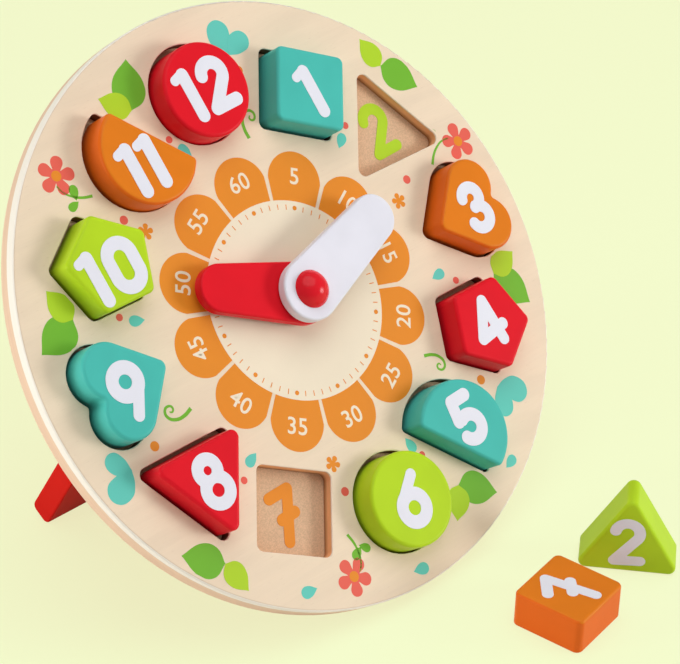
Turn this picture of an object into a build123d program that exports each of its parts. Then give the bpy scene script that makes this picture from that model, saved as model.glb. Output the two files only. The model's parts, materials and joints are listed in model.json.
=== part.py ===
from build123d import *
from math import acos, asin, atan2, cos, hypot, radians, sin, tan
import os

# A round teaching clock board that leans back on a hinged leg. Twelve shaped number blocks lift out
# of recesses around the dial, and two free hands turn on a wooden hub peg. Millimetres, +Z up, the
# table at Z = 0 and the dial facing -Y.
# Board frame: X to the right, Y up the dial, Z out of the printed face, origin at the dial's centre.

# ---- board ----
dial_radius = 149.0
front_thickness = 7.0
back_thickness = 5.0
front_edge_round = 1.3
back_edge_round = 0.8
recess_edge_round = 0.5
lean = 41.0                      # degrees back from upright

# ---- recesses and number blocks ----
block_height = 19.0
block_top_round = 1.8
block_foot_round = 0.6
block_clearance = 1.6            # all round, between a centred block and its recess
print_thickness = 0.2

round_recess_diameter = 50.0
square_recess_side = 41.0
square_corner = 3.5
triangle_recess_side = 57.9      # between sharp corners
triangle_corner = 3.6
pentagon_recess_side = 31.0
pentagon_corner = 3.5
half_moon_radius = 27.4
half_moon_flat = 9.8             # from the arc's centre to the flat side
half_moon_corner = 2.6
heart_lobe = 30.0                # diameter of each lobe
heart_tip_corner = 4.0
heart_notch_corner = 2.2
heart_centre = 25.1              # from the sharp tip to the placing point

# Hour: (shape, distance in from the rim, clockwise angle from twelve, turn of the shape, how far the
# seated block lies off the middle of its recess, x and y)
recesses = {
    1: ("square", 45.8, 30.8, 60, (1.3, -0.7)),
    2: ("triangle", 40.2, 59.8, 0, (0, 0)),
    3: ("heart", 39.0, 89.2, 4, (0.9, -0.5)),
    4: ("pentagon", 44.5, 119.7, 180, (0.4, -1.1)),
    5: ("half_moon", 45.7, 152.9, 222.5, (0.7, -1.2)),
    6: ("round", 41.2, 179.1, 0, (0.3, -0.8)),
    7: ("square", 46.7, 211.2, 60, (0, 0)),
    8: ("triangle", 41.4, 240.2, 180, (0.2, -0.5)),
    9: ("heart", 39.0, 269.9, 184, (0.4, 0.2)),
    10: ("pentagon", 43.5, 300.6, 0, (0.4, -0.9)),
    11: ("half_moon", 44.4, 333.7, 42.5, (0.5, -1.3)),
    12: ("round", 40.6, 359.7, 0, (-0.6, -0.9)),
}
loose_hours = (2, 7)             # these two blocks stand on the table

# ---- numerals ----
numeral_height = 28.0
numeral_grid = 28.0              # units in the height of the grid that the digits are drawn on
stroke = 6.6
loose_stroke = 5.5
recess_stroke = 5.8
numeral_tilt = 3.0
loose_square_numeral_tilt = 9.0
# Hour: numeral centre from the block's centre, x and y
numeral_shift = {
    1: (-0.6, -2.0), 2: (0.2, 3.0), 3: (2.9, -0.2), 4: (-1.4, 0.6), 5: (4.1, 4.9), 6: (-0.8, -0.6),
    7: (1.0, -0.6), 8: (-0.3, -2.2), 9: (-1.8, -1.7), 10: (-1.7, -3.5), 11: (-7.7, -6.0), 12: (0.4, 0.4),
}
# The two empty recesses show their numerals a little off the blocks' own.
recess_numeral_shift = dict(numeral_shift)
recess_numeral_shift[2] = (1.2, 1.8)
recess_numeral_shift[7] = (0.8, -0.8)

# ---- hub and hands ----
hub_height_on_dial = 1.6
peg_radius = 4.0
dome_radius = 9.25
dome_height = 6.0
running_clearance = 0.05
axial_play = 0.1
low_spacer_thickness = 3.5
high_spacer_thickness = 0.7
spacer_radius = 10.0
hand_thickness = 5.8
hand_edge_round = 1.2
hand_hub_radius = 15.2
hand_tip_radius = 11.8
minute_tip_centre = 54.4
hour_tip_centre = 45.0
minute_hand_angle = 18.3         # anticlockwise from three o'clock
hour_hand_angle = 154.9
rear_counterbore_radius = 8.0
rear_counterbore_depth = 2.4
rear_washer_radius = 7.5
rear_washer_thickness = 0.9
rear_screw_head_radius = 3.6
rear_screw_head_height = 1.3
rear_screw_radius = 1.6
rear_screw_length = 14.0

# ---- leg and its hinge ----
leg_width = 205.0
leg_thickness = 12.6
leg_open_angle = 70.4            # between the leg and the board's back
leg_corner = 3.5
leg_end_round = 1.0
pivot_depth = 12.0               # behind the board's back face
pivot_below_centre = 2.9
stop_gap = 0.03
hinge_pin_radius = 3.0
hinge_pin_reach = 24.0           # into each end of the leg
hinge_side_gap = 0.6
hinge_block_width = 14.0
hinge_lug_radius = 8.5
hinge_foot_length = 44.0
hinge_foot_thickness = 5.0
hinge_screw_spacing = 31.0
hinge_screw_radius = 1.5
hinge_screw_head_radius = 3.2
hinge_screw_head_height = 1.7
hinge_screw_depth = 4.4          # below the board's back face
screw_slot_width = 0.9
screw_slot_depth = 0.7

# ---- where the two loose blocks stand ----
loose_square_place = (33.84, -154.02)
loose_square_turn = 39.95
loose_triangle_foot = (81.35, -149.87)
loose_triangle_turn = -51.04

board_thickness = front_thickness + back_thickness
board_centre_height = (
    cos(radians(lean)) * (dial_radius - back_edge_round)
    + sin(radians(lean)) * (board_thickness - back_edge_round)
    + back_edge_round
)
board_at = Location((0, 0, board_centre_height), (90 - lean, 0, 0))


# ---- outlines ----
def square_outline(inset):
    side = square_recess_side - 2 * inset
    return RectangleRounded(side, side, square_corner)


def polygon_outline(side, count, corner, inset):
    # The corner points up the dial.
    inner_radius = side / 2 / tan(radians(180 / count)) - inset
    shape = RegularPolygon(inner_radius, count, major_radius=False, rotation=90)
    return fillet(shape.vertices(), corner)


def half_moon_outline(inset):
    # The flat side faces +X before the turn.
    radius = half_moon_radius - inset
    flat = half_moon_flat - inset
    shape = Circle(radius) - Pos(flat + radius, 0) * Rectangle(2 * radius, 3 * radius)
    return fillet(shape.vertices(), half_moon_corner)


def heart_outline(inset):
    # The tip points to -X before the turn, with two straight sides at a right angle.
    lobe = heart_lobe
    corners = [(inset, inset), (lobe, inset), (lobe, lobe / 2), (lobe / 2, lobe), (inset, lobe)]
    shape = make_face(Polyline(*corners, close=True))
    shape += Pos(lobe / 2, lobe) * Circle(lobe / 2 - inset)
    shape += Pos(lobe, lobe / 2) * Circle(lobe / 2 - inset)
    by_diagonal = sorted(shape.vertices(), key=lambda v: v.X + v.Y)
    shape = fillet(by_diagonal[0], heart_tip_corner)
    by_diagonal = sorted(shape.vertices(), key=lambda v: abs(v.X - v.Y) - 0.001 * v.X)
    shape = fillet(by_diagonal[0], heart_notch_corner)
    return Pos(-heart_centre, 0) * Rot(0, 0, -45) * shape


def outline(kind, inset=0.0):
    if kind == "round":
        return Circle(round_recess_diameter / 2 - inset)
    if kind == "square":
        return square_outline(inset)
    if kind == "triangle":
        return polygon_outline(triangle_recess_side, 3, triangle_corner, inset)
    if kind == "pentagon":
        return polygon_outline(pentagon_recess_side, 5, pentagon_corner, inset)
    if kind == "half_moon":
        return half_moon_outline(inset)
    return heart_outline(inset)


# ---- numerals, drawn with rounded strokes on their grid, whose origin is in its middle ----
def line(width, *points):
    shape = Sketch()
    for start, end in zip(points, points[1:]):
        shape += SlotArc(Line(start, end), width)
    return shape


def bow(width, centre, radius, start, sweep):
    return SlotArc(CenterArc(centre, radius, start, sweep), width)


def ring_stroke(width, centre, radius):
    return Pos(*centre) * (Circle(radius + width / 2) - Circle(radius - width / 2))


def ring_with_tail(width, centre, radius, end):
    # The tail is straight and leaves the ring along its tangent.
    across = end[0] - centre[0]
    along = end[1] - centre[1]
    turn = atan2(along, across) + acos(radius / hypot(across, along))
    touch = (centre[0] + radius * cos(turn), centre[1] + radius * sin(turn))
    return ring_stroke(width, centre, radius) + line(0.88 * width, touch, end)


def digit(number, width):
    # Centre lines: the topmost and the lowest are half a stroke inside the grid.
    top = numeral_grid / 2 - width / 2
    if number == 0:
        reach = 6.6
        outer = SlotOverall(2 * top + width, 2 * reach + width, rotation=90)
        return outer - SlotOverall(2 * top - width, 2 * reach - width, rotation=90)
    if number == 1:
        flag = line(0.74 * width, (0.6, top + 0.5), (-4.4, top - 1.0))
        return line(width, (1.0, -top), (0.8, top)) + flag
    if number == 2:
        bowl = 5.9
        foot = line(width, (3.9, top - 9.3), (-7.3, -top), (5.2, -top))
        return bow(width, (-0.9, top - bowl), bowl, 168, -207) + foot
    if number == 3:
        width = 0.94 * width
        upper = 5.2
        lower = 5.6
        return (
            bow(width, (-0.4, top - upper), upper, 165, -255)
            + bow(width, (-0.2, lower - top), lower, 90, -255)
        )
    if number == 4:
        return line(0.92 * width, (3.4, -top), (2.0, top), (-8.0, 5.0 - top), (7.0, 6.6 - top))
    if number == 5:
        bowl = 6.2
        flag = line(width, (4.8, top), (-4.2, top), (-5.4, top - 10.0))
        return flag + bow(width, (0, bowl - top), bowl, 120, -268)
    if number == 6:
        return ring_with_tail(width, (-0.6, 7.0 - top), 6.9, (6.4, top))
    if number == 7:
        return (
            line(width, (-5.8, top), (5.8, top - 0.2), (-6.8, -top))
            + line(width, (-4.8, -0.6), (3.6, -0.4))
        )
    if number == 8:
        upper = 5.1
        lower = 6.2
        hole = 0.45 * width
        at_upper = Pos(0, top - upper)
        at_lower = Pos(0.2, lower - top)
        shape = at_upper * Circle(upper + width / 2) + at_lower * Circle(lower + width / 2)
        return shape - at_upper * Circle(upper - hole) - at_lower * Circle(lower - hole)
    return ring_with_tail(width, (-0.6, top - 6.8), 6.7, (-2.6, -top - 1.6))


def numeral(hour, width):
    unit = numeral_height / numeral_grid
    width = width / unit
    if hour == 10:
        shape = Pos(-10.4, 0) * digit(1, width) + Pos(6.6, 0) * digit(0, width)
    elif hour == 11:
        shape = Pos(-4.6, 0) * digit(1, width) + Pos(7.2, 0) * digit(1, width)
    elif hour == 12:
        shape = Pos(-10.4, 0) * digit(1, width) + Pos(6.6, 0) * digit(2, width)
    else:
        shape = digit(hour, width)
    return scale(shape, by=unit)


# ---- places ----
def recess_centre(hour):
    from_rim, clock_angle = recesses[hour][1:3]
    reach = dial_radius - from_rim
    return (reach * sin(radians(clock_angle)), reach * cos(radians(clock_angle)))


def board_place(hour):
    x, y = recess_centre(hour)
    off_x, off_y = recesses[hour][4]
    seat = print_thickness - front_thickness
    return board_at * Location((x + off_x, y + off_y, seat))


def loose_place(hour):
    if hour == 7:
        return Location((*loose_square_place, 0), (0, 0, loose_square_turn))
    facing = Location((0, 0, 0), (0, 0, loose_triangle_turn)) * Location((0, 0, 0), (90, 0, 0))
    inner_radius = triangle_recess_side / 2 / 3 ** 0.5 - block_clearance
    foot = facing * Location((0, -inner_radius, block_height))
    return Location((*loose_triangle_foot, 0)) * Location(-foot.position) * facing


def block_place(hour):
    return loose_place(hour) if hour in loose_hours else board_place(hour)


# ---- number blocks, their printed numerals, and the numerals printed in the recesses ----
def recess_outline(hour, inset=0.0):
    kind = recesses[hour][0]
    turn = recesses[hour][3]
    return Rot(0, 0, turn) * outline(kind, inset)


def number_block(hour):
    body = extrude(recess_outline(hour, block_clearance), block_height)
    body = fillet(body.faces().sort_by(Axis.Z)[-1].edges(), block_top_round)
    return fillet(body.faces().sort_by(Axis.Z)[0].edges(), block_foot_round)


def block_numeral(hour):
    tilt = loose_square_numeral_tilt if hour == 7 else numeral_tilt
    width = loose_stroke if hour in loose_hours else stroke
    shape = Pos(*numeral_shift[hour]) * Rot(0, 0, tilt) * numeral(hour, width)
    return Pos(0, 0, block_height) * extrude(shape, print_thickness)


def recess_numeral(hour):
    spot = Pos(*recess_centre(hour)) * Pos(*recess_numeral_shift[hour])
    shape = spot * Rot(0, 0, numeral_tilt) * numeral(hour, recess_stroke)
    return Pos(0, 0, -front_thickness) * extrude(shape, print_thickness)


# ---- boards ----
def front_board():
    board = Pos(0, 0, -front_thickness) * extrude(Circle(dial_radius), front_thickness)
    for hour in recesses:
        hole = Pos(*recess_centre(hour)) * recess_outline(hour)
        board -= Pos(0, 0, -front_thickness) * extrude(hole, front_thickness)
    face = board.faces().sort_by(Axis.Z)[-1]
    board = fillet(face.outer_wire().edges(), front_edge_round)
    rims = [e for wire in board.faces().sort_by(Axis.Z)[-1].inner_wires() for e in wire.edges()]
    board = fillet(rims, recess_edge_round)
    return board - Pos(0, hub_height_on_dial, -front_thickness) * extrude(Circle(peg_radius), front_thickness)


def back_board():
    board = Pos(0, 0, -board_thickness) * extrude(Circle(dial_radius), back_thickness)
    board = fillet(board.faces().sort_by(Axis.Z)[0].edges(), back_edge_round)
    back_face = Pos(0, hub_height_on_dial, -board_thickness)
    board -= back_face * extrude(Circle(peg_radius), back_thickness)
    board -= back_face * extrude(Circle(rear_counterbore_radius), rear_counterbore_depth)
    for x, y in hinge_screw_spots():
        board -= Pos(x, y, -board_thickness) * extrude(Circle(hinge_screw_radius), hinge_screw_depth)
    return board


# ---- hub, spacers and hands, all along the hub axis with Z = 0 on the printed face ----
hour_hand_base = low_spacer_thickness + axial_play
high_spacer_base = hour_hand_base + hand_thickness + axial_play
minute_hand_base = high_spacer_base + high_spacer_thickness + axial_play
dome_base = minute_hand_base + hand_thickness + axial_play
peg_end = rear_counterbore_depth - board_thickness
hub = Pos(0, hub_height_on_dial, 0)


def hub_peg():
    ball_radius = (dome_radius ** 2 + dome_height ** 2) / (2 * dome_height)
    dome = Pos(0, 0, dome_base + dome_height - ball_radius) * Sphere(ball_radius)
    dome &= Pos(0, 0, dome_base) * extrude(Circle(2 * ball_radius), 2 * ball_radius)
    shaft = Pos(0, 0, peg_end) * extrude(Circle(peg_radius), dome_base - peg_end)
    pilot = Pos(0, 0, peg_end) * extrude(Circle(rear_screw_radius), rear_screw_length)
    return hub * (dome + shaft - pilot)


def ring(inner, outer, base, height):
    return hub * Pos(0, 0, base) * extrude(Circle(outer) - Circle(inner), height)


def slotted_head(radius, height):
    head = extrude(Circle(radius), height)
    head = fillet(head.faces().sort_by(Axis.Z)[-1].edges(), height * 0.45)
    return head - Pos(0, 0, height - screw_slot_depth) * extrude(
        Rectangle(3 * radius, screw_slot_width), screw_slot_depth
    )


def hub_screw():
    head = Pos(0, 0, peg_end - rear_washer_thickness) * Rot(180, 0, 0)
    head = head * slotted_head(rear_screw_head_radius, rear_screw_head_height)
    shank = Pos(0, 0, peg_end - rear_washer_thickness)
    shank = shank * extrude(Circle(rear_screw_radius), rear_washer_thickness + rear_screw_length)
    return hub * (head + shank)


def hand(tip_centre, base, angle):
    # The two straight sides are tangent to the hub round and the tip round.
    taper = asin((hand_hub_radius - hand_tip_radius) / tip_centre)
    across = (sin(taper), cos(taper))
    start = (hand_hub_radius * across[0], hand_hub_radius * across[1])
    end = (tip_centre + hand_tip_radius * across[0], hand_tip_radius * across[1])
    sides = Polyline(start, end, (end[0], -end[1]), (start[0], -start[1]), close=True)
    shape = make_face(sides) + Circle(hand_hub_radius) + Pos(tip_centre, 0) * Circle(hand_tip_radius)
    body = extrude(shape, hand_thickness)
    body = fillet(body.faces().sort_by(Axis.Z)[-1].edges(), hand_edge_round)
    body = fillet(body.faces().sort_by(Axis.Z)[0].edges(), hand_edge_round / 2)
    body -= extrude(Circle(peg_radius + running_clearance), hand_thickness)
    return hub * Pos(0, 0, base) * Rot(0, 0, angle) * body


# ---- leg and hinge, placed in the board frame, with Z = 0 on the printed face ----
leg_half = leg_thickness / 2
leg_upright = leg_open_angle - lean      # degrees of the leg from upright
pivot_in_board = Location((0, -pivot_below_centre, -board_thickness - pivot_depth))
pivot = board_at * pivot_in_board
# The leg's rounded upper edge meets the board's back when the leg is open.
corner_offset = leg_half - leg_corner
leg_above_pivot = leg_corner + (
    (pivot_depth - stop_gap - leg_corner - corner_offset * cos(radians(leg_open_angle)))
    / sin(radians(leg_open_angle))
)
# The leg's rounded lower edge meets the table.
leg_below_pivot = leg_corner + (
    (pivot.position.Z - leg_corner - corner_offset * sin(radians(leg_upright)))
    / cos(radians(leg_upright))
)


def stand_leg():
    length = leg_above_pivot + leg_below_pivot
    body = Pos(0, 0, (leg_above_pivot - leg_below_pivot) / 2) * Box(leg_width, leg_thickness, length)
    body = fillet(body.edges().filter_by(Axis.X), leg_corner)
    ends = body.faces().sort_by(Axis.X)
    body = fillet(ends[0].edges() + ends[-1].edges(), leg_end_round)
    bore = Rot(0, 90, 0) * extrude(Circle(hinge_pin_radius + running_clearance), hinge_pin_reach + 0.5)
    body -= Pos(-leg_width / 2, 0, 0) * bore
    body -= Pos(leg_width / 2 - hinge_pin_reach - 0.5, 0, 0) * bore
    return Location(pivot.position, (leg_upright, 0, 0)) * body


hinge_block_middle = leg_width / 2 + hinge_side_gap + hinge_block_width / 2
back_at = Location((0, -pivot_below_centre, -board_thickness), (180, 0, 0))


def hinge_screw_spots():
    middle = -pivot_below_centre
    return [
        (side * hinge_block_middle, middle + end * hinge_screw_spacing / 2)
        for side in (-1, 1)
        for end in (-1, 1)
    ]


def hinge_block(side):
    # Drawn with Z out of the board's back, then turned onto it.
    foot = extrude(Rectangle(hinge_block_width, hinge_foot_length), hinge_foot_thickness)
    lug = Rot(0, 90, 0) * extrude(Circle(hinge_lug_radius), hinge_block_width)
    lug = Pos(-hinge_block_width / 2, 0, pivot_depth) * lug
    web = extrude(Rectangle(hinge_block_width, 2 * hinge_lug_radius), pivot_depth)
    body = foot + lug + web
    bore = Rot(0, 90, 0) * extrude(Circle(hinge_pin_radius), hinge_block_width)
    body -= Pos(-hinge_block_width / 2, 0, pivot_depth) * bore
    for end in (-1, 1):
        spot = Pos(0, end * hinge_screw_spacing / 2, 0)
        body -= spot * extrude(Circle(hinge_screw_radius), hinge_foot_thickness)
    return back_at * Pos(side * hinge_block_middle, 0, 0) * body


def hinge_pins():
    length = hinge_block_width + hinge_side_gap + hinge_pin_reach
    pin = Rot(0, 90, 0) * extrude(Circle(hinge_pin_radius), length)
    outer = hinge_block_middle + hinge_block_width / 2
    left = Pos(-outer, 0, pivot_depth) * pin
    right = Pos(outer - length, 0, pivot_depth) * pin
    return back_at * (left + right)


def hinge_screws():
    screws = Part()
    for x, y in hinge_screw_spots():
        head = Pos(0, 0, hinge_foot_thickness)
        head = head * slotted_head(hinge_screw_head_radius, hinge_screw_head_height)
        shank = Pos(0, 0, -hinge_screw_depth)
        shank = shank * extrude(Circle(hinge_screw_radius), hinge_screw_depth + hinge_foot_thickness)
        screws += Pos(x, y, -board_thickness) * Rot(180, 0, 0) * (head + shank)
    return screws


# ---- the assembly ----
hub_bore = peg_radius + running_clearance
parts = {
    "front_board": board_at * front_board(),
    "back_board": board_at * back_board(),
    "hub_peg": board_at * hub_peg(),
    "hub_screw": board_at * hub_screw(),
    "hub_washer": board_at * ring(
        rear_screw_radius, rear_washer_radius, peg_end - rear_washer_thickness, rear_washer_thickness
    ),
    "spacer_low": board_at * ring(hub_bore, spacer_radius, 0, low_spacer_thickness),
    "spacer_high": board_at * ring(hub_bore, spacer_radius, high_spacer_base, high_spacer_thickness),
    "hour_hand": board_at * hand(hour_tip_centre, hour_hand_base, hour_hand_angle),
    "minute_hand": board_at * hand(minute_tip_centre, minute_hand_base, minute_hand_angle),
    "stand_leg": stand_leg(),
    "hinge_block_left": board_at * hinge_block(-1),
    "hinge_block_right": board_at * hinge_block(1),
    "hinge_pins": board_at * hinge_pins(),
    "hinge_screws": board_at * hinge_screws(),
}
for hour, recess in recesses.items():
    parts[f"block_{hour:02d}_{recess[0]}"] = block_place(hour) * number_block(hour)
    parts[f"block_numeral_{hour:02d}"] = block_place(hour) * block_numeral(hour)
    parts[f"recess_numeral_{hour:02d}"] = board_at * recess_numeral(hour)

# The origin is under the middle of everything, on the table.
everything = Compound(list(parts.values())).bounding_box()
to_origin = Pos(-everything.center().X, -everything.center().Y, 0)

os.makedirs("parts", exist_ok=True)
for name, solid in parts.items():
    export_step(to_origin * solid, f"parts/{name}.step")
print("overall size", everything.size)
print("shift to the origin", to_origin.position)
print("hub on the dial", (to_origin * board_at * hub).position)
print("leg pivot", (to_origin * pivot).position)
print("leg above and below its pivot", leg_above_pivot, leg_below_pivot)
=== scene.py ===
"""Finishes, prints and stage for a wooden teaching clock with lift-out number blocks."""
from math import cos, hypot, radians, sin
import json

import bpy
from mathutils import Matrix, Vector


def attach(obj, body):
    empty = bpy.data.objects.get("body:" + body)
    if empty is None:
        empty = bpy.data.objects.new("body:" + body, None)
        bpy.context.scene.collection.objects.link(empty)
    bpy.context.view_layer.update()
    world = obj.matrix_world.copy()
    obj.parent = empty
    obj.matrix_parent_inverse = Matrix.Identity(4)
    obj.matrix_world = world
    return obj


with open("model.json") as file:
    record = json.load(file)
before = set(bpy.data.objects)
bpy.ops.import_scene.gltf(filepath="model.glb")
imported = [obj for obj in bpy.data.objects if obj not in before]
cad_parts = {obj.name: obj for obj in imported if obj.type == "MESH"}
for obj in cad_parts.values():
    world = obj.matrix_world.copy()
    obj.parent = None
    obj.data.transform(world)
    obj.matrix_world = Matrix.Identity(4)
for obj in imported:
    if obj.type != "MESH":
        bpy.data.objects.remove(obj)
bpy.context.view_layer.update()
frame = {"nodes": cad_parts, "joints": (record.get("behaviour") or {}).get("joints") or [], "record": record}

bl_info = {
    "name": "Teaching Clock Looks",
    "version": (1, 0, 0),
    "blender": (4, 5, 0),
    "location": "View3D > Sidebar > Clock",
    "description": "Paints, prints and lights a round wooden teaching clock with lift-out blocks",
    "category": "Object",
}

MM = 0.001
NODES = frame["nodes"]
JOINTS = {joint["name"]: joint for joint in frame["joints"]}
BOARD_BODY = "clock_board"

# ---- where the dial lies ----
# Dial coordinates: X to the right, Y up the dial, Z out of the printed face, origin at its centre.
HUB_ABOVE_CENTRE = 1.6 * MM
DIAL_RADIUS = 149.0 * MM
# The rim's pale plies end at this depth at mid height. The ply behind them matches the backing.
PALE_RIM = 4.9 * MM
PALE_RIM_RISE = 1.9 * MM  # how much deeper they reach at the top, and less deep at the foot
DIAL_OUT = Vector(JOINTS["minute_hand_turn"]["axis"]).normalized()
DIAL_ACROSS = Vector((1, 0, 0))
DIAL_UP = DIAL_OUT.cross(DIAL_ACROSS)
FACE_CENTRE = Vector(JOINTS["minute_hand_turn"]["pos_m"]) - HUB_ABOVE_CENTRE * DIAL_UP
DIAL_TURN = Matrix((DIAL_ACROSS, DIAL_UP, DIAL_OUT)).transposed()
DIAL_PLACE = Matrix.Translation(FACE_CENTRE) @ DIAL_TURN.to_4x4()

# The middles of the two recesses whose blocks lie on the table, and how far those recesses reach.
EMPTY_RECESS_REACH = 32 * MM
EMPTY_RECESSES = [
    DIAL_PLACE.inverted() @ (sum((Vector(c) for c in NODES[name].bound_box), Vector()) / 8)
    for name in ("recess_numeral_02", "recess_numeral_07")
]

# ---- camera ----
CAMERA_PLACE = Vector((-0.77628, -0.77934, 0.87286))
CAMERA_RIGHT = Vector((0.72133, -0.69220, 0.02351))
CAMERA_UP = Vector((0.37756, 0.42145, 0.82452))
CAMERA_LENS = 150.85

# ---- light ----
# Name, place, target, size and power, with how wide it shines in degrees.
LAMPS = (
    ("overhead_softbox", (0.1, -0.15, 1.9), (0, 0, 0.1), 2.1, 20, 180),
    ("right_softbox", (1.6, -1.75, 0.42), (0, 0, 0.1), 0.8, 3.85, 70),
    ("left_softbox", (-0.9, 0.36, 0.2), (-0.1, 0, 0.12), 0.3, 0.46, 60),
)
WORLD_LIGHT = 0.31
FLOOR_BOUNCE = (0.95, 0.92, 0.85, 1)  # the floor as the object's surfaces are lit by it
FLOOR_IN_SHADE = (0.87, 0.77, 0.78)  # share of the floor's colour that full shadow leaves


def linear(red, green, blue):
    """A colour of 0 to 255 as the linear values that a shader takes."""
    parts = [value / 255 for value in (red, green, blue)]
    return tuple(p / 12.92 if p <= 0.04045 else ((p + 0.055) / 1.055) ** 2.4 for p in parts)


WARM_FIBRE = linear(230, 200, 164)
BIRCH_FLECK = linear(176, 136, 98)
RIM_LINE = linear(196, 160, 128)  # where the flat face turns over to the rim
WALL_FOOT_SHADE = linear(112, 58, 26)  # painted shade on a recess's walls, near the back board
GAP_SHADE = linear(58, 20, 14)  # painted shade on a recess's walls, in the gap behind a seated block
PALE_FIBRE = linear(238, 208, 176)  # in the fibreboard


def colour_property(name, description, red, green, blue):
    return bpy.props.FloatVectorProperty(
        name=name, description=description, subtype="COLOR", size=3, min=0, max=1,
        default=linear(red, green, blue),
    )


def length_property(name, description, millimetres):
    return bpy.props.FloatProperty(
        name=name, description=description, subtype="DISTANCE", unit="LENGTH", min=0,
        default=millimetres * MM,
    )


class ClockColours(bpy.types.PropertyGroup):
    """Every paint, ink, wood and metal colour on the clock."""

    red: colour_property("Red paint", "Red blocks, hour hand, hub and leg", 228, 26, 40)
    teal: colour_property("Teal paint", "Teal blocks", 78, 190, 178)
    orange: colour_property("Orange paint", "Orange blocks", 228, 126, 30)
    # Painted shade: the redder orange that the orange blocks' sides take, standing in for their shade.
    orange_side: colour_property("Orange sides", "Sides of the orange blocks", 230, 106, 28)
    lime: colour_property("Lime paint", "Lime blocks", 184, 218, 40)
    # Painted warm light: the leg's red is tinted warmer and darker than the red paint it shares.
    leg: colour_property("Leg paint", "Matt red of the leg", 218, 34, 26)
    white: colour_property("White paint", "Minute hand", 232, 231, 240)
    birch: colour_property("Birch", "Printed front face", 242, 222, 195)
    birch_edge: colour_property("Birch edge", "Rounded rim of the front board", 252, 244, 230)
    board_core: colour_property("Board core", "Walls of the recesses", 242, 186, 134)
    fibreboard: colour_property("Fibreboard", "Back board", 216, 178, 142)
    backing_edge: colour_property("Backing edge", "Rim of the back board", 238, 203, 172)
    dowel: colour_property("Dowel wood", "Hinge blocks", 222, 188, 142)
    steel: colour_property("Steel", "Screws, washer and pins", 176, 178, 182)
    nylon: colour_property("Nylon", "Spacers between the hands", 238, 236, 230)
    white_ink: colour_property("White ink", "Numerals on the blocks", 233, 233, 242)
    red_ink: colour_property("Red ink", "Numerals in the recesses", 226, 50, 52)
    coral_ink: colour_property("Coral ink", "Blossoms and berries", 234, 100, 84)
    teal_ink: colour_property("Teal ink", "Recess numerals, wings and drops", 100, 204, 188)
    orange_ink: colour_property("Orange ink", "Ring, minute track, recess numerals", 233, 141, 36)
    lime_ink: colour_property("Lime ink", "Recess numerals and light leaves", 178, 214, 40)
    green_ink: colour_property("Green ink", "Dark leaves", 116, 184, 48)
    cream_ink: colour_property("Cream ink", "Centre disc and minute numbers", 244, 230, 204)
    floor: colour_property("Floor", "Floor and background", 246, 255, 208)


class ClockSizes(bpy.types.PropertyGroup):
    """Sizes of the printed decoration."""

    ink: length_property("Ink height", "How far the lowest ink layer stands over the face", 0.05)
    margin: length_property("Print margin", "Bare wood left between a print and an edge", 0.9)
    disc_radius: length_property("Disc radius", "Cream disc in the middle", 48.9)
    scallop_radius: length_property("Scallop radius", "Outer round of each scallop", 14.7)
    scallop_reach: length_property("Scallop reach", "Dial centre to the centre of a scallop", 59.2)
    number_height: length_property("Number height", "Minute numbers", 8.6)
    number_reach: length_property("Number reach", "Dial centre to the minute numbers", 61.5)


def colours():
    return bpy.context.scene.clock_colours


def sizes():
    return bpy.context.scene.clock_sizes


# ---- shader sums ----
class Wire:
    """A socket that takes part in sums. Each sum adds one Math node."""

    def __init__(self, finish, socket):
        self.finish = finish
        self.socket = socket

    def sum(self, operation, *values):
        return self.finish.add("ShaderNodeMath", {"operation": operation}, dict(enumerate(values)))

    def __add__(self, other):
        return self.sum("ADD", self, other)

    def __radd__(self, other):
        return self.sum("ADD", other, self)

    def __sub__(self, other):
        return self.sum("SUBTRACT", self, other)

    def __rsub__(self, other):
        return self.sum("SUBTRACT", other, self)

    def __mul__(self, other):
        return self.sum("MULTIPLY", self, other)

    def __rmul__(self, other):
        return self.sum("MULTIPLY", other, self)

    def __pow__(self, other):
        return self.sum("POWER", self, other)

    def step(self, low, high):
        """0 up to low, 1 from high, smooth between."""
        settings = {"interpolation_type": "SMOOTHSTEP"}
        return self.finish.add("ShaderNodeMapRange", settings, {"Value": self, 1: low, 2: high})


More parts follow.
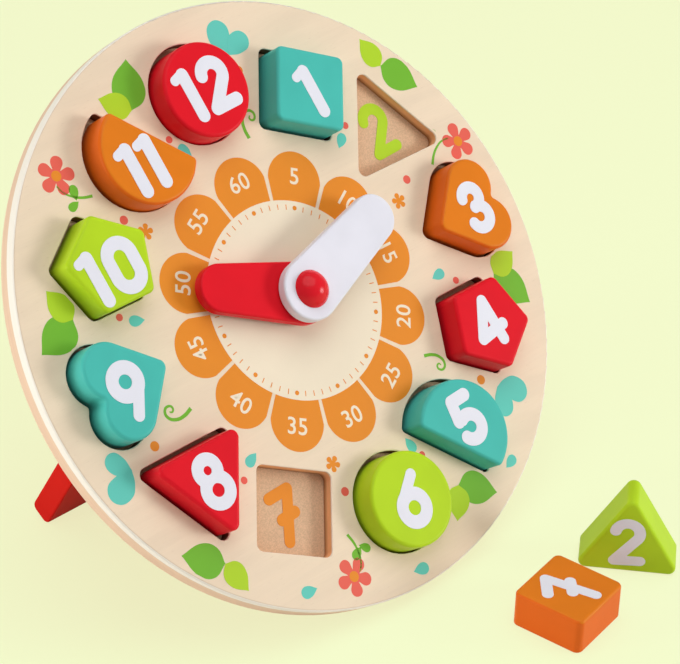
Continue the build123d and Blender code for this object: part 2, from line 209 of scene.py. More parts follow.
class Finish:
    """A material with one Principled shader, whose even values are set on its own sockets."""

    def __init__(self, name, **even):
        self.material = bpy.data.materials.new(name)
        self.material.use_nodes = True
        self.tree = self.material.node_tree
        self.shader = self.tree.nodes["Principled BSDF"]
        for socket, value in even.items():
            self.shader.inputs[socket.replace("_", " ")].default_value = value

    def add(self, kind, settings=None, inputs=None, output=0):
        node = self.tree.nodes.new(kind)
        for setting, value in (settings or {}).items():
            setattr(node, setting, value)
        for socket, value in (inputs or {}).items():
            self.plug(node.inputs[socket], value)
        return Wire(self, node.outputs[output])

    def plug(self, socket, value):
        if isinstance(value, Wire):
            self.tree.links.new(value.socket, socket)
        elif socket.type == "RGBA" and len(value) == 3:
            socket.default_value = (*value, 1)
        else:
            socket.default_value = value

    def surface(self, colour=None, roughness=None, relief=None, depth=0.02 * MM, strength=1.0):
        if colour is not None:
            self.plug(self.shader.inputs["Base Color"], colour)
        if roughness is not None:
            self.plug(self.shader.inputs["Roughness"], roughness)
        if relief is not None:
            bump = self.add(
                "ShaderNodeBump", {}, {"Strength": strength, "Distance": depth, "Height": relief}
            )
            self.plug(self.shader.inputs["Normal"], bump)
        return self.material

    def place(self, scale=(1, 1, 1), location=(0, 0, 0), rotation=(0, 0, 0), kind="POINT"):
        """Object coordinates, moved, turned or stretched."""
        point = self.add("ShaderNodeTexCoord", {}, {}, "Object")
        values = {"Vector": point, "Location": location, "Rotation": rotation, "Scale": scale}
        return self.add("ShaderNodeMapping", {"vector_type": kind}, values)

    def dial_place(self, stretch=(1, 1, 1)):
        """Dial coordinates, stretched for a grain."""
        turn = DIAL_TURN.to_euler()
        point = self.place(location=FACE_CENTRE, rotation=turn, kind="TEXTURE")
        return self.add("ShaderNodeVectorMath", {"operation": "MULTIPLY"}, {0: point, 1: stretch})

    def split(self, point):
        """X, Y and Z of a vector."""
        node = self.add("ShaderNodeSeparateXYZ", {}, {0: point}).socket.node
        return [Wire(self, output) for output in node.outputs]

    def noise(self, point, scale, detail=2.0, roughness=0.5, distortion=0.0):
        values = {
            "Vector": point, "Scale": scale, "Detail": detail, "Roughness": roughness,
            "Distortion": distortion,
        }
        return self.add("ShaderNodeTexNoise", {}, values)

    def mix(self, factor, first, second):
        """first where factor is 0, second where it is 1."""
        settings = {"data_type": "RGBA"}
        return self.add("ShaderNodeMix", settings, {0: factor, 6: first, 7: second}, 2)

    def shades(self, factor, colour, darker, lighter):
        """A colour that runs from darker to lighter times itself."""
        low = tuple(part * darker for part in colour)
        high = tuple(min(1.0, part * lighter) for part in colour)
        return self.mix(factor, low, high)

    def tint(self, factor, colour, darker, lighter):
        """Shades of a colour that is already a wire."""
        share = self.add("ShaderNodeMapRange", {}, {"Value": factor, 3: darker, 4: lighter})
        return self.add("ShaderNodeVectorMath", {"operation": "SCALE"}, {0: colour, "Scale": share})

    def near(self, point, centres, radius):
        """1 within a radius of any of the centres, 0 beyond."""
        found = 0.0
        for centre in centres:
            inputs = {0: point, 1: centre}
            apart = self.add("ShaderNodeVectorMath", {"operation": "DISTANCE"}, inputs, "Value")
            found = apart.sum("LESS_THAN", apart, radius) + found
        return found

    def facing_up(self):
        """1 on the faces that look out of the dial or straight up, 0 on the others."""
        normal = self.add("ShaderNodeTexCoord", {}, {}, "Normal")
        up = self.split(normal)[2]
        settings = {"operation": "DOT_PRODUCT"}
        out = self.add("ShaderNodeVectorMath", settings, {0: normal, 1: tuple(DIAL_OUT)}, "Value")
        return up.sum("MAXIMUM", up, out).step(0.75, 0.97)


# ---- finishes ----
def paint(name, colour, roughness=0.34, shine=0.09, side=None):
    """Sprayed satin paint: nearly even, with a faint orange-peel skin over the wood's grain. Given a side
    colour, the faces that look neither up nor out of the dial take it as painted shade.
    """
    finish = Finish(name, Specular_IOR_Level=shine)
    point = finish.place()
    cloud = finish.noise(point, 34, detail=3)
    if side:
        # Painted shade: faces that look neither up nor out of the dial take the side colour.
        colour = finish.mix(finish.facing_up(), side, colour)
        colour = finish.tint(cloud.step(0.3, 0.7), colour, 0.965, 1.03)
    else:
        colour = finish.shades(cloud.step(0.3, 0.7), colour, 0.965, 1.03)
    peel = finish.noise(point, 900, detail=1)
    grain = finish.noise(finish.place(scale=(60, 700, 700)), 1, detail=2)
    gloss = roughness - 0.03 + 0.06 * finish.noise(point, 180, detail=2)
    return finish.surface(colour, gloss, 0.75 * peel + 0.25 * grain, 0.012 * MM, 0.6)


def ink(name, colour, roughness=0.5):
    """Screen-printed ink, with a fine mesh of pinholes and a little cloudiness."""
    finish = Finish(name, Specular_IOR_Level=0.22)
    point = finish.place()
    cloud = finish.noise(point, 60, detail=3)
    speck = finish.noise(point, 2600, detail=1)
    colour = finish.shades(0.6 * cloud + 0.4 * speck, colour, 0.94, 1.05)
    return finish.surface(colour, roughness + 0.08 * (cloud - 0.5), speck, 0.006 * MM, 0.5)


def reach_of(across, up):
    """Distance from the dial's axis."""
    return (across * across + up * up) ** 0.5


def front_birch():
    """Lacquered birch: grained face, pale sanded rim, a painted highlight on the arrises round dark recess
    walls, and painted shade on those walls.
    """
    finish = Finish("birch_face", Specular_IOR_Level=0.25)
    dial = finish.dial_place()
    across, up, out = finish.split(dial)
    depth = 0 - out
    reach = reach_of(across, up)
    edge_grain = finish.noise(finish.dial_place((70, 70, 900)), 1, detail=3)
    core_grain = finish.noise(finish.dial_place((420, 420, 1200)), 1, detail=3, roughness=0.7)
    figure = finish.noise(
        finish.dial_place((9, 60, 60)), 1, detail=4, roughness=0.6, distortion=0.6
    )
    fibre = finish.noise(finish.dial_place((50, 1500, 1500)), 1, detail=3, roughness=0.6)
    fleck = finish.noise(finish.dial_place((260, 1900, 1900)), 1, detail=1).step(0.66, 0.78)

    face = finish.shades(figure.step(0.28, 0.72), colours().birch, 0.94, 1.03)
    face = finish.mix(0.28 * fibre, face, WARM_FIBRE)
    face = finish.mix(0.14 * fleck, face, BIRCH_FLECK)

    edge = finish.shades(edge_grain, colours().birch_edge, 0.95, 1.03)
    backing = finish.shades(edge_grain, colours().backing_edge, 0.88, 1.08)
    ply_line = depth - up * (PALE_RIM_RISE / DIAL_RADIUS)
    lowest_ply = ply_line.step(PALE_RIM - 0.2 * MM, PALE_RIM + 0.2 * MM)
    rim_plies = finish.mix(lowest_ply, edge, backing)

    # Painted shade: the walls grow darker towards the foot, and most of all in the narrow gaps round seated
    # blocks.
    core = finish.shades(core_grain, colours().board_core, 0.86, 1.12)
    # Painted shade at the walls' foot, next to the back board.
    core = finish.mix(0.72 * depth.step(3.2 * MM, 7.0 * MM), core, WALL_FOOT_SHADE)
    # Painted shade in the narrow gaps round seated blocks. The two empty recesses are left without it.
    seated_gap_shade = 1 - finish.near(dial, EMPTY_RECESSES, EMPTY_RECESS_REACH)
    core = finish.mix(0.8 * seated_gap_shade, core, GAP_SHADE)

    arris_highlight = depth.step(0.02 * MM, 0.12 * MM)
    wall = depth.step(0.5 * MM, 1.1 * MM)
    rim = reach.step(DIAL_RADIUS - 0.8 * MM, DIAL_RADIUS - 0.6 * MM)
    rim_line = reach.step(DIAL_RADIUS - 1.15 * MM, DIAL_RADIUS - 0.95 * MM) * (1 - rim)
    # Painted highlight: the arrises take a paler mix of the face and edge colours.
    colour = finish.mix(arris_highlight, face, finish.mix(0.55, face, edge))
    colour = finish.mix(wall, colour, core)
    colour = finish.mix(rim, colour, rim_plies)
    colour = finish.mix(0.35 * rim_line, colour, RIM_LINE)
    roughness = finish.add(
        "ShaderNodeMix", {"data_type": "FLOAT"}, {0: wall * (1 - rim), 2: 0.44, 3: 0.8}
    )
    relief = 0.7 * fibre + 0.3 * core_grain
    return finish.surface(colour, roughness + 0.06 * (figure - 0.5), relief, 0.02 * MM, 0.5)


def fibreboard():
    """Pressed fibreboard: fine fibres and specks, with paler, banded edges on its rim."""
    finish = Finish("board_backing", IOR=1.45)
    dial = finish.dial_place()
    across, up, out = finish.split(dial)
    reach = reach_of(across, up)
    cloud = finish.noise(dial, 45, detail=3)
    speck = finish.noise(dial, 1500, detail=3, roughness=0.7)
    fibre = finish.noise(finish.dial_place((420, 1700, 900)), 1, detail=2, distortion=1.5)
    mottle = 0.55 * speck.step(0.36, 0.64) + 0.3 * fibre + 0.15 * cloud
    face = finish.shades(mottle, colours().fibreboard, 0.8, 1.18)
    face = finish.mix(0.18 * fibre.step(0.6, 0.75), face, PALE_FIBRE)
    band = finish.noise(finish.dial_place((30, 30, 1400)), 1, detail=3, roughness=0.6)
    edge = finish.shades(band, colours().backing_edge, 0.85, 1.1)
    rim = reach.step(DIAL_RADIUS - 0.9 * MM, DIAL_RADIUS - 0.5 * MM)
    colour = finish.mix(rim, face, edge)
    return finish.surface(colour, 0.74 + 0.1 * (speck - 0.5), speck, 0.03 * MM, 0.5)


def grained_wood(name, colour, stretch):
    finish = Finish(name, IOR=1.45)
    point = finish.place(scale=stretch)
    rings = finish.noise(point, 1, detail=3, distortion=0.8)
    fibre = finish.noise(finish.place(scale=tuple(5 * s for s in stretch)), 1, detail=3)
    tone = finish.shades(0.6 * rings.step(0.3, 0.7) + 0.4 * fibre, colour, 0.84, 1.08)
    return finish.surface(tone, 0.56 + 0.1 * fibre, fibre, 0.03 * MM, 0.6)


def zinc_steel():
    finish = Finish("steel", Metallic=1.0)
    point = finish.place()
    cloud = finish.noise(point, 260, detail=3)
    scratch = finish.noise(finish.place(scale=(300, 4200, 4200)), 1, detail=2)
    tone = finish.shades(cloud, colours().steel, 0.88, 1.06)
    return finish.surface(tone, 0.24 + 0.16 * cloud, scratch, 0.008 * MM, 0.5)


def moulded_nylon():
    finish = Finish("nylon", IOR=1.53)
    point = finish.place()
    cloud = finish.noise(point, 120, detail=2)
    grain = finish.noise(point, 3000, detail=1)
    tone = finish.shades(cloud, colours().nylon, 0.96, 1.02)
    return finish.surface(tone, 0.42 + 0.08 * cloud, grain, 0.01 * MM, 0.5)


FINISHES = {}


def finish_of(slot):
    """The finish for one of the record's material slots, or for an ink, made at its first use."""
    if slot not in FINISHES:
        FINISHES[slot] = make_finish(slot)
    return FINISHES[slot]


def make_finish(slot):
    shade = colours()
    if slot.endswith("_paint"):
        colour = getattr(shade, slot.removesuffix("_paint"))
        # The orange paint's sides get a redder colour as painted shade.
        side = tuple(shade.orange_side) if slot == "orange_paint" else None
        return paint(slot, tuple(colour), side=side)
    if slot.endswith("_print") or slot.endswith("_ink"):
        colour = getattr(shade, slot.rsplit("_", 1)[0] + "_ink")
        return ink(slot, tuple(colour))
    if slot == "dowel_wood":
        return grained_wood(slot, tuple(shade.dowel), (40, 260, 260))
    makers = {
        "birch_face": front_birch, "board_backing": fibreboard, "steel": zinc_steel,
        "nylon": moulded_nylon,
    }
    return makers[slot]()


def dress_nodes(*slots):
    """Give every CAD node of these material slots its finish."""
    for part in frame["record"]["subparts"]:
        if part["material_slot"] in slots:
            mesh = NODES[part["node"]].data
            mesh.materials.clear()
            mesh.materials.append(finish_of(part["material_slot"]))


# ---- modelling by hand, flat on the dial ----
def deselect():
    if bpy.context.object and bpy.context.object.mode != "OBJECT":
        bpy.ops.object.mode_set(mode="OBJECT")
    bpy.ops.object.select_all(action="DESELECT")


def pick(*pieces):
    deselect()
    for piece in pieces:
        piece.select_set(True)
    bpy.context.view_layer.objects.active = pieces[0]


def join(name, pieces):
    pick(*pieces)
    if len(pieces) > 1:
        bpy.ops.object.join()
    piece = bpy.context.object
    piece.name = name
    piece.data.name = name
    return piece


def ink_shape(knots, layer=1, resolution=10):
    """A closed flat shape through knots (x, y, corner) in millimetres, thick for its layer."""
    deselect()
    bpy.ops.curve.primitive_bezier_circle_add(radius=1)
    curve = bpy.context.object.data
    curve.dimensions = "2D"
    curve.fill_mode = "BOTH"
    curve.resolution_u = resolution
    points = curve.splines[0].bezier_points
    points.add(max(0, len(knots) - len(points)))
    for point in points:
        point.handle_left_type = "AUTO"
        point.handle_right_type = "AUTO"
    for point, (x, y, corner) in zip(points, knots):
        point.co = (x * MM, y * MM, 0)
        kind = "VECTOR" if corner else "AUTO"
        point.handle_left_type = kind
        point.handle_right_type = kind
    sunk = 0.5 * sizes().ink
    top = sizes().ink * layer
    curve.extrude = (top + sunk) / 2
    bpy.ops.object.convert(target="MESH")
    piece = bpy.context.object
    piece.data.transform(Matrix.Translation((0, 0, (top - sunk) / 2)))
    weld(piece)
    return piece


def weld(piece):
    pick(piece)
    bpy.ops.object.mode_set(mode="EDIT")
    bpy.ops.mesh.select_all(action="SELECT")
    bpy.ops.mesh.remove_doubles(threshold=0.001 * MM)
    bpy.ops.mesh.normals_make_consistent(inside=False)
    bpy.ops.object.mode_set(mode="OBJECT")


def copy_to(piece, x, y, turn, size=1.0):
    """A copy with its own mesh, moved on the dial. x and y in millimetres, turn in degrees."""
    double = piece.copy()
    double.data = piece.data.copy()
    bpy.context.scene.collection.objects.link(double)
    place = Matrix.Translation((x * MM, y * MM, 0))
    stretch = Matrix.Diagonal((size, size, 1, 1))
    double.data.transform(place @ Matrix.Rotation(radians(turn), 4, "Z") @ stretch)
    return double


def on_clock(reach, clock_angle):
    """x and y at a distance from the dial's centre, clockwise in degrees from twelve."""
    return reach * sin(radians(clock_angle)), reach * cos(radians(clock_angle))


def lay_on_dial(piece, slot):
    """Turn a flat piece onto the dial, finish it, and let it ride with the board."""
    pick(piece)
    piece.matrix_world = DIAL_PLACE
    bpy.context.view_layer.update()
    bpy.ops.object.transform_apply(location=True, rotation=True, scale=True)
    piece.data.materials.clear()
    piece.data.materials.append(finish_of(slot))
    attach(piece, BOARD_BODY)
    return piece


def edit_faces(piece, wanted):
    """Go into edit mode with only the wanted faces selected."""
    pick(piece)
    bpy.ops.object.mode_set(mode="EDIT")
    bpy.ops.mesh.select_mode(type="FACE")
    bpy.ops.mesh.select_all(action="DESELECT")
    bpy.ops.object.mode_set(mode="OBJECT")
    for face in piece.data.polygons:
        face.select = wanted(face)
    bpy.ops.object.mode_set(mode="EDIT")


def bare_face():
    """The flat part of the front face less the print margin, as a solid to trim prints with."""
    deselect()
    board = NODES["front_board"]
    area = bpy.data.objects.new("print_area", board.data.copy())
    bpy.context.scene.collection.objects.link(area)
    area.data.transform(DIAL_PLACE.inverted())
    weld(area)
    edit_faces(area, lambda face: face.normal.z <= 0.999 or abs(face.center.z) >= 0.01 * MM)
    bpy.ops.mesh.delete(type="FACE")
    bpy.ops.mesh.select_all(action="SELECT")
    bpy.ops.mesh.inset(thickness=sizes().margin, use_boundary=True, use_even_offset=True)
    bpy.ops.mesh.select_all(action="INVERT")
    bpy.ops.mesh.delete(type="FACE")
    bpy.ops.mesh.select_all(action="SELECT")
    bpy.ops.mesh.dissolve_limited(angle_limit=radians(0.5))
    bpy.ops.mesh.select_all(action="SELECT")
    bpy.ops.transform.translate(value=(0, 0, -1 * MM))
    bpy.ops.mesh.extrude_region_move(TRANSFORM_OT_translate={"value": (0, 0, 2 * MM)})
    bpy.ops.mesh.select_all(action="SELECT")
    bpy.ops.mesh.normals_make_consistent(inside=False)
    bpy.ops.object.mode_set(mode="OBJECT")
    return area


def trim(piece, area):
    """Cut a print back to the bare face."""
    pick(piece)
    cut = piece.modifiers.new("trim", "BOOLEAN")
    cut.operation = "INTERSECT"
    cut.solver = "EXACT"
    cut.object = area
    bpy.ops.object.modifier_apply(modifier=cut.name)
    if not piece.data.polygons:
        raise RuntimeError(f"nothing is left of {piece.name}")


# ---- printed shapes, each in millimetres round its own origin, +Y outwards ----
# Outlines have knots (x, y, corner), and paths have points (x, y).
LEAF = [
    (0, 0, True), (5.8, 3.8, False), (7.0, 10.2, False), (0.8, 20, True), (-6.6, 11.0, False),
    (-6.2, 4.4, False),
]
DROP = [
    (0, 0, True), (2.5, 4.2, False), (2.2, 7.2, False), (0, 8.4, False), (-2.2, 7.2, False),
    (-2.5, 4.2, False),
]
WING = [
    (0, 0, True), (5.4, 4.4, False), (7.2, 10.2, False), (2.6, 13.6, False), (-2.6, 9.6, False),
    (-2.4, 4.2, False),
]
STALK = [(0, -8.5), (-0.9, -3), (-0.4, 2), (1.4, 6.5), (4.2, 9.4)]
CURL = [
    (0, -7.5), (-1.2, -2.5), (-0.6, 2.4), (2.2, 5.6), (5.4, 5.4), (6.6, 2.8), (5.0, 0.9),
    (3.3, 2.0), (3.9, 3.4),
]
STALK_WIDTH = 1.5
CURL_WIDTH = 1.9
BLOSSOM_OUTER = 7.4
BLOSSOM_NOTCH = 2.6
BLOSSOM_EYE = 2.0
TICK = [(-0.22, -1.3, True), (0.22, -1.3, True), (0.22, 1.3, True), (-0.22, 1.3, True)]
MINUTE_DOT = 1.15
TRACK_INSET = 3.4  # the disc's edge to the middle of the minute track
SCALLOP_LAP = 3 * MM  # how far the scallops run in under the disc


def ribbon(path, width, thin_end=0.45):
    """The outline of a stroke along a path, which thins towards its end."""
    sides = ([], [])
    last = len(path) - 1
    for index, (x, y) in enumerate(path):
        before = path[max(0, index - 1)]
        after = path[min(last, index + 1)]
        along = (after[0] - before[0], after[1] - before[1])
        half = 0.5 * width * (1 - (1 - thin_end) * index / last) / hypot(*along)
        for side, sign in zip(sides, (1, -1)):
            aside = sign * half
            side.append((x + aside * along[1], y - aside * along[0], index in (0, last)))
    return sides[0] + sides[1][::-1]


def round_print(radius, layer=1, vertices=48):
    """A round dot of ink, with a slightly softened edge."""
    deselect()
    sunk = 0.5 * sizes().ink
    top = sizes().ink * layer
    bpy.ops.mesh.primitive_cylinder_add(
        vertices=vertices, radius=radius * MM, depth=top + sunk, location=(0, 0, (top - sunk) / 2)
    )
    bpy.ops.object.transform_apply(location=True, rotation=True, scale=True)
    piece = bpy.context.object
    edit_faces(piece, lambda face: face.normal.z > 0.9)
    bpy.ops.mesh.bevel(offset=0.4 * sizes().ink, segments=1)
    bpy.ops.object.mode_set(mode="OBJECT")
    return piece


def petals(count, outer, notch):
    """A blossom's outline: round petals with sharp notches."""
    knots = []
    aside, shoulder = 105 / count, 0.86 * outer
    for petal in range(count):
        middle = 90 + 360 * petal / count
        for turn, reach, corner in (
            (-180 / count, notch, True), (-aside, shoulder, False), (0, outer, False),
            (aside, shoulder, False),
        ):
            angle = radians(middle + turn)
            knots.append((reach * cos(angle), reach * sin(angle), corner))
    return knots


class ClockStep:
    """What the clock's operators share."""

    bl_options = {"REGISTER", "UNDO"}


class CLOCK_OT_boards(ClockStep, bpy.types.Operator):
    """Finish the birch front board and the fibreboard back board"""

    bl_idname = "clock.boards"
    bl_label = "Finish Boards"

    def execute(self, context):
        dress_nodes("birch_face", "board_backing")
        return {"FINISHED"}


class CLOCK_OT_painted_wood(ClockStep, bpy.types.Operator):
    """Paint the number blocks, the hands, the hub peg and the leg"""

    bl_idname = "clock.painted_wood"
    bl_label = "Paint Wood"

    def execute(self, context):
        dress_nodes("red_paint", "teal_paint", "orange_paint", "lime_paint", "white_paint")
        glossy = paint("peg_gloss", tuple(colours().red), roughness=0.2, shine=0.2)
        NODES["hub_peg"].data.materials[0] = glossy
        # The leg's matt finish is its own; its warmer red is painted warm light.
        matt = paint("leg_matt_warm_lit", tuple(colours().leg), roughness=0.5, shine=0.02)
        NODES["stand_leg"].data.materials[0] = matt
        return {"FINISHED"}


class CLOCK_OT_numerals(ClockStep, bpy.types.Operator):
    """Ink the numerals on the blocks and in the recesses"""

    bl_idname = "clock.numerals"
    bl_label = "Ink Numerals"

    def execute(self, context):
        dress_nodes("white_print", "red_print", "teal_print", "orange_print", "lime_print")
        return {"FINISHED"}


class CLOCK_OT_hardware(ClockStep, bpy.types.Operator):
    """Finish the screws, washer, pins, spacers and hinge blocks"""

    bl_idname = "clock.hardware"
    bl_label = "Finish Hardware"

    def execute(self, context):
        dress_nodes("steel", "nylon", "dowel_wood")
        return {"FINISHED"}


class CLOCK_OT_centre(ClockStep, bpy.types.Operator):
    """Print the scalloped ring, the cream disc and the minute track in the middle of the dial"""

    bl_idname = "clock.centre"
    bl_label = "Print Centre"

    def execute(self, context):
        scallops = self.scallops()
        lay_on_dial(scallops, "orange_ink")
        disc = round_print(sizes().disc_radius / MM, layer=2, vertices=128)
        disc.name = "disc_print"
        lay_on_dial(disc, "cream_ink")
        lay_on_dial(self.minute_track(), "orange_ink")
        lay_on_dial(self.minute_numbers(), "cream_ink")
        return {"FINISHED"}

    def scallops(self):
        """Twelve scallops, one to each five minutes, that run in under the disc."""
        deselect()
        radius = sizes().scallop_radius
        top = sizes().ink
        bpy.ops.mesh.primitive_circle_add(vertices=64, radius=radius, fill_type="NGON")
        scallop = bpy.context.object
        self.draw_in(scallop, radius)
        scallop.data.transform(Matrix.Translation((0, sizes().scallop_reach, -0.5 * top)))
        pick(scallop)
        bpy.ops.object.mode_set(mode="EDIT")
        bpy.ops.mesh.select_all(action="SELECT")
        bpy.ops.mesh.extrude_region_move(TRANSFORM_OT_translate={"value": (0, 0, 1.5 * top)})
        bpy.ops.mesh.select_all(action="SELECT")
        bpy.ops.mesh.normals_make_consistent(inside=False)
        bpy.ops.object.mode_set(mode="OBJECT")
        ring = [scallop] + [copy_to(scallop, 0, 0, -30 * hour) for hour in range(1, 12)]
        return join("scallop_print", ring)

    def draw_in(self, scallop, radius):
        """Carry the lower half of the circle in towards the dial's centre, to under the disc."""
        foot = sizes().disc_radius - SCALLOP_LAP
        taper = foot / sizes().scallop_reach
        for vertex in scallop.data.vertices:
            if vertex.co.y < -0.01 * MM:
                side = 1 if vertex.co.x > 0 else -1
                down = 2 * abs(vertex.co.y) / radius
                along = min(1.0, down)
                across = 1 - max(0.0, down - 1)
                vertex.co.x = side * radius * (1 - (1 - taper) * along) * across
                vertex.co.y = -(sizes().scallop_reach - foot) * along

    def minute_track(self):
        """A tick for each minute, a dot at each five, just inside the disc's edge."""
        reach = sizes().disc_radius / MM - TRACK_INSET
        tick = ink_shape(TICK, layer=3)
        dot = round_print(MINUTE_DOT, layer=3, vertices=24)
        marks = []
        for minute in range(60):
            mark = dot if minute % 5 == 0 else tick
            marks.append(copy_to(mark, *on_clock(reach, 6 * minute), -6 * minute))
        for pattern in (tick, dot):
            bpy.data.objects.remove(pattern)
        return join("minute_track_print", marks)

    def minute_numbers(self):
        """The minutes from 5 to 60, one number on each scallop."""
        return join("minute_number_print", [self.minute_number(hour) for hour in range(1, 13)])

    def minute_number(self, hour):
        """Its top is outwards in the upper half of the dial and inwards in the lower half."""
        deselect()
        bpy.ops.object.text_add()
        text = bpy.context.object
        text.data.body = str(5 * hour)
        text.data.size = 1.35 * sizes().number_height
        text.data.offset = 0.12 * MM
        text.data.space_character = 1.05
        text.data.align_x = "CENTER"
        text.data.align_y = "CENTER"
        text.data.extrude = 0.75 * sizes().ink
        text.data.resolution_u = 6
        bpy.ops.object.convert(target="MESH")
        number = bpy.context.object
        weld(number)
        across = [vertex.co.x for vertex in number.data.vertices]
        up = [vertex.co.y for vertex in number.data.vertices]
        middle = Vector(((min(across) + max(across)) / 2, (min(up) + max(up)) / 2, 0))
        clock_angle = 30 * hour
        upper_half = -90 <= (clock_angle + 180) % 360 - 180 <= 90
        turn = -clock_angle if upper_half else 180 - clock_angle
        x, y = on_clock(sizes().number_reach, clock_angle)
        place = Matrix.Translation((x, y, 1.25 * sizes().ink))
        centred = Matrix.Translation(-middle)
        number.data.transform(place @ Matrix.Rotation(radians(turn), 4, "Z") @ centred)
        return number


class CLOCK_OT_garden(ClockStep, bpy.types.Operator):
    """Print leaves, blossoms, berries and tendrils in the spaces between the number blocks"""

    bl_idname = "clock.garden"
    bl_label = "Print Garden"

    # Shape, clock angle, distance from the dial's centre, turn from outwards, size. Shapes whose
    # names begin with over lie on a second layer of ink.
    PLAN = {
        "green_ink": (
            ("leaf", 52, 137, -84, 1.15), ("leaf", 106, 120, -40, 1.25),
            ("leaf", 161.5, 122, 40, 1.15), ("leaf", 227, 136, -75, 1.15),
            ("leaf", 288, 121, 40, 1.2), ("leaf", 342, 119, -38, 1.25), ("curl", 12, 88, 0, 1.0),
            ("curl", 133, 82, 14, 0.9), ("curl", 255, 90, -10, 1.0), ("stalk", 73.5, 122, 24, 1.0),
            ("stalk", 195, 122, 20, 1.0), ("stalk", 316, 122, 24, 1.0), ("drop", 72, 125, 66, 0.8),
            ("drop", 193.5, 121, -50, 0.9), ("drop", 194, 120, 62, 0.8),
            ("drop", 315, 121, -54, 0.9), ("drop", 315, 120, 62, 0.8),
        ),
        "lime_ink": (
            ("over_leaf", 52, 137, 70, 0.85), ("over_leaf", 106, 120, 36, 0.9),
            ("over_leaf", 161.5, 122, -50, 0.9), ("over_leaf", 227, 136, 66, 0.85),
            ("over_leaf", 288, 121, -50, 0.9), ("over_leaf", 342, 119, 36, 0.9),
        ),
        "teal_ink": (
            ("wing", 13, 122, 30, 1.3), ("over_wing", 13, 122, -36, 1.1),
            ("wing", 134, 120, 30, 1.3), ("over_wing", 134, 120, -36, 1.1),
            ("wing", 254, 127, 30, 1.3), ("over_wing", 254, 127, -44, 1.0),
            ("drop", 48, 84, 0, 1.0), ("drop", 105, 82, 20, 1.0), ("drop", 165, 86, 0, 1.0),
            ("drop", 226.5, 80, -20, 1.0), ("drop", 286, 84, 0, 1.0), ("drop", 348, 84, 20, 1.0),
            ("drop", 206, 138, -70, 1.1), ("drop", 183, 141, 84, 1.1), ("drop", 150, 139, 80, 1.0),
        ),
        "coral_ink": (
            ("blossom", 75.5, 136, 0, 1.3), ("blossom", 197, 134, 0, 1.3),
            ("blossom", 318, 134, 0, 1.3), ("berry", 48, 97, 0, 1.8), ("berry", 106.5, 96, 0, 1.8),
            ("berry", 164, 98, 0, 1.8), ("berry", 228, 95, 0, 1.8), ("berry", 287.5, 97, 0, 1.8),
            ("berry", 345, 97, 0, 1.8), ("berry", 73, 96, 0, 2.2), ("berry", 194, 94, 0, 2.2),
            ("berry", 315.5, 96, 0, 2.2),
        ),
        "orange_ink": (
            ("over_eye", 75.5, 136, 0, 1.3), ("over_eye", 197, 134, 0, 1.3),
            ("over_eye", 318, 134, 0, 1.3), ("berry", 14.5, 114, 0, 2.4),
            ("berry", 134, 110, 0, 2.4), ("berry", 254, 110, 0, 2.4), ("blossom", 76, 84, 0, 0.55),
            ("blossom", 196, 80, 0, 0.55), ("blossom", 315, 84, 0, 0.55),
        ),
    }

    def execute(self, context):
        area = bare_face()
        patterns = self.patterns()
        for slot, places in self.PLAN.items():
            prints = []
            for shape, clock_angle, reach, turn, size in places:
                x, y = on_clock(reach, clock_angle)
                prints.append(copy_to(patterns[shape], x, y, turn - clock_angle, size))
                trim(prints[-1], area)
            lay_on_dial(join(slot.replace("_ink", "_garden_print"), prints), slot)
        for shape in (area, *patterns.values()):
            bpy.data.objects.remove(shape)
        return {"FINISHED"}

    def patterns(self):
        """One print of each shape, to copy from."""
        return {
            "leaf": ink_shape(LEAF),
            "over_leaf": ink_shape(LEAF, layer=2),
            "drop": ink_shape(DROP),
            "wing": ink_shape(WING),
            "over_wing": ink_shape(WING, layer=2),
            "stalk": ink_shape(ribbon(STALK, STALK_WIDTH)),
            "curl": ink_shape(ribbon(CURL, CURL_WIDTH)),
            "blossom": ink_shape(petals(5, BLOSSOM_OUTER, BLOSSOM_NOTCH)),
            "berry": round_print(1, vertices=24),
            "over_eye": round_print(BLOSSOM_EYE, layer=2, vertices=24),
        }


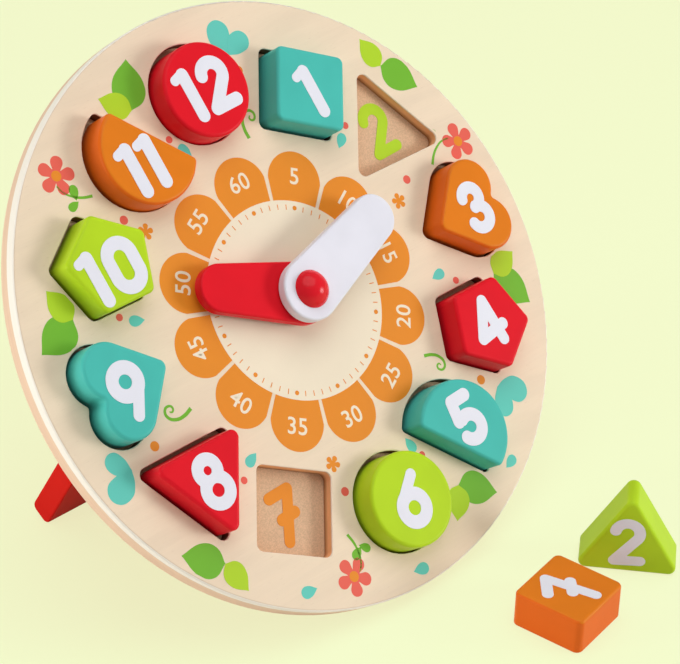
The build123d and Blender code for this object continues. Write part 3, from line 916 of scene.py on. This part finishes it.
class CLOCK_OT_stage(ClockStep, bpy.types.Operator):
    """Add the pale floor, soft studio light and the camera"""

    bl_idname = "clock.stage"
    bl_label = "Set Stage"

    def execute(self, context):
        self.floor()
        self.surroundings(context)
        for lamp in LAMPS:
            self.lamp(*lamp)
        self.camera(context)
        return {"FINISHED"}

    def floor(self):
        """A floor that is evenly pale in view, takes soft shadows, and lights the object."""
        deselect()
        bpy.ops.mesh.primitive_plane_add(size=40, location=(0, 0, -0.1 * MM))
        floor = bpy.context.object
        floor.name = "floor"
        finish = Finish("pale_floor", Roughness=0.9)
        finish.shader.inputs["Base Color"].default_value = FLOOR_BOUNCE
        rays = finish.add("ShaderNodeLightPath").socket.node
        in_view = Wire(finish, rays.outputs["Is Camera Ray"])
        mirrored = Wire(finish, rays.outputs["Is Glossy Ray"])
        in_shade = tuple(part * share for part, share in zip(colours().floor, FLOOR_IN_SHADE))
        by_light = tuple(whole - part for whole, part in zip(colours().floor, in_shade))
        # Half of each shader is mixed in, so each is twice as bright.
        doubled = tuple(2 * part for part in by_light)
        lit = finish.add("ShaderNodeBsdfDiffuse", {}, {"Color": doubled})
        glow = finish.add("ShaderNodeEmission", {}, {"Color": in_shade, "Strength": 2.0})
        shown = finish.add("ShaderNodeMixShader", {}, {0: 0.5, 1: lit, 2: glow})
        factor = in_view.sum("MAXIMUM", in_view, mirrored)
        plain = Wire(finish, finish.shader.outputs[0])
        mixed = finish.add("ShaderNodeMixShader", {}, {0: factor, 1: plain, 2: shown})
        output = finish.tree.nodes["Material Output"]
        finish.plug(output.inputs["Surface"], mixed)
        floor.data.materials.append(finish.material)

    def surroundings(self, context):
        """Even light from all round, with the floor's colour behind it in view."""
        world = context.scene.world or bpy.data.worlds.new("studio")
        context.scene.world = world
        world.use_nodes = True
        tree = world.node_tree
        tree.nodes.clear()
        rays = tree.nodes.new("ShaderNodeLightPath")
        light = tree.nodes.new("ShaderNodeBackground")
        light.inputs["Color"].default_value = (1, 1, 1, 1)
        light.inputs["Strength"].default_value = WORLD_LIGHT
        backdrop = tree.nodes.new("ShaderNodeBackground")
        backdrop.inputs["Color"].default_value = (*colours().floor, 1)
        switch = tree.nodes.new("ShaderNodeMixShader")
        output = tree.nodes.new("ShaderNodeOutputWorld")
        tree.links.new(rays.outputs["Is Camera Ray"], switch.inputs[0])
        tree.links.new(light.outputs[0], switch.inputs[1])
        tree.links.new(backdrop.outputs[0], switch.inputs[2])
        tree.links.new(switch.outputs[0], output.inputs[0])

    def lamp(self, name, place, target, size, power, spread):
        deselect()
        bpy.ops.object.light_add(type="AREA", location=place)
        lamp = bpy.context.object
        lamp.name = name
        lamp.rotation_euler = (Vector(target) - Vector(place)).to_track_quat("-Z", "Y").to_euler()
        lamp.data.shape = "DISK"
        lamp.data.size = size
        lamp.data.energy = power
        lamp.data.spread = radians(spread)

    def camera(self, context):
        bpy.ops.object.camera_add()
        camera = bpy.context.object
        camera.name = "main_camera"
        right = CAMERA_RIGHT.normalized()
        back = right.cross(CAMERA_UP).normalized()
        up = back.cross(right)
        turn = Matrix((right, up, back)).transposed().to_4x4()
        camera.matrix_world = Matrix.Translation(CAMERA_PLACE) @ turn
        camera.data.sensor_width = 36
        camera.data.lens = CAMERA_LENS
        camera.data.dof.use_dof = False
        context.scene.camera = camera
        context.scene.view_settings.view_transform = "Standard"


STEPS = (
    CLOCK_OT_boards, CLOCK_OT_painted_wood, CLOCK_OT_numerals, CLOCK_OT_hardware, CLOCK_OT_centre,
    CLOCK_OT_garden, CLOCK_OT_stage,
)


class CLOCK_PT_panel(bpy.types.Panel):
    """The clock's steps, sizes and colours"""

    bl_idname = "CLOCK_PT_panel"
    bl_label = "Teaching Clock"
    bl_space_type = "VIEW_3D"
    bl_region_type = "UI"
    bl_category = "Clock"

    def draw(self, context):
        for step in STEPS:
            self.layout.operator(step.bl_idname)
        for group in (context.scene.clock_sizes, context.scene.clock_colours):
            column = self.layout.column()
            for name in group.__annotations__:
                column.prop(group, name)


CLASSES = (ClockColours, ClockSizes, *STEPS, CLOCK_PT_panel)


def register():
    for item in CLASSES:
        bpy.utils.register_class(item)
    bpy.types.Scene.clock_colours = bpy.props.PointerProperty(type=ClockColours)
    bpy.types.Scene.clock_sizes = bpy.props.PointerProperty(type=ClockSizes)


def unregister():
    del bpy.types.Scene.clock_sizes
    del bpy.types.Scene.clock_colours
    for item in reversed(CLASSES):
        bpy.utils.unregister_class(item)


def main():
    register()
    for step in STEPS:
        group, name = step.bl_idname.split(".")
        getattr(getattr(bpy.ops, group), name)()


if __name__ == "__main__":
    main()
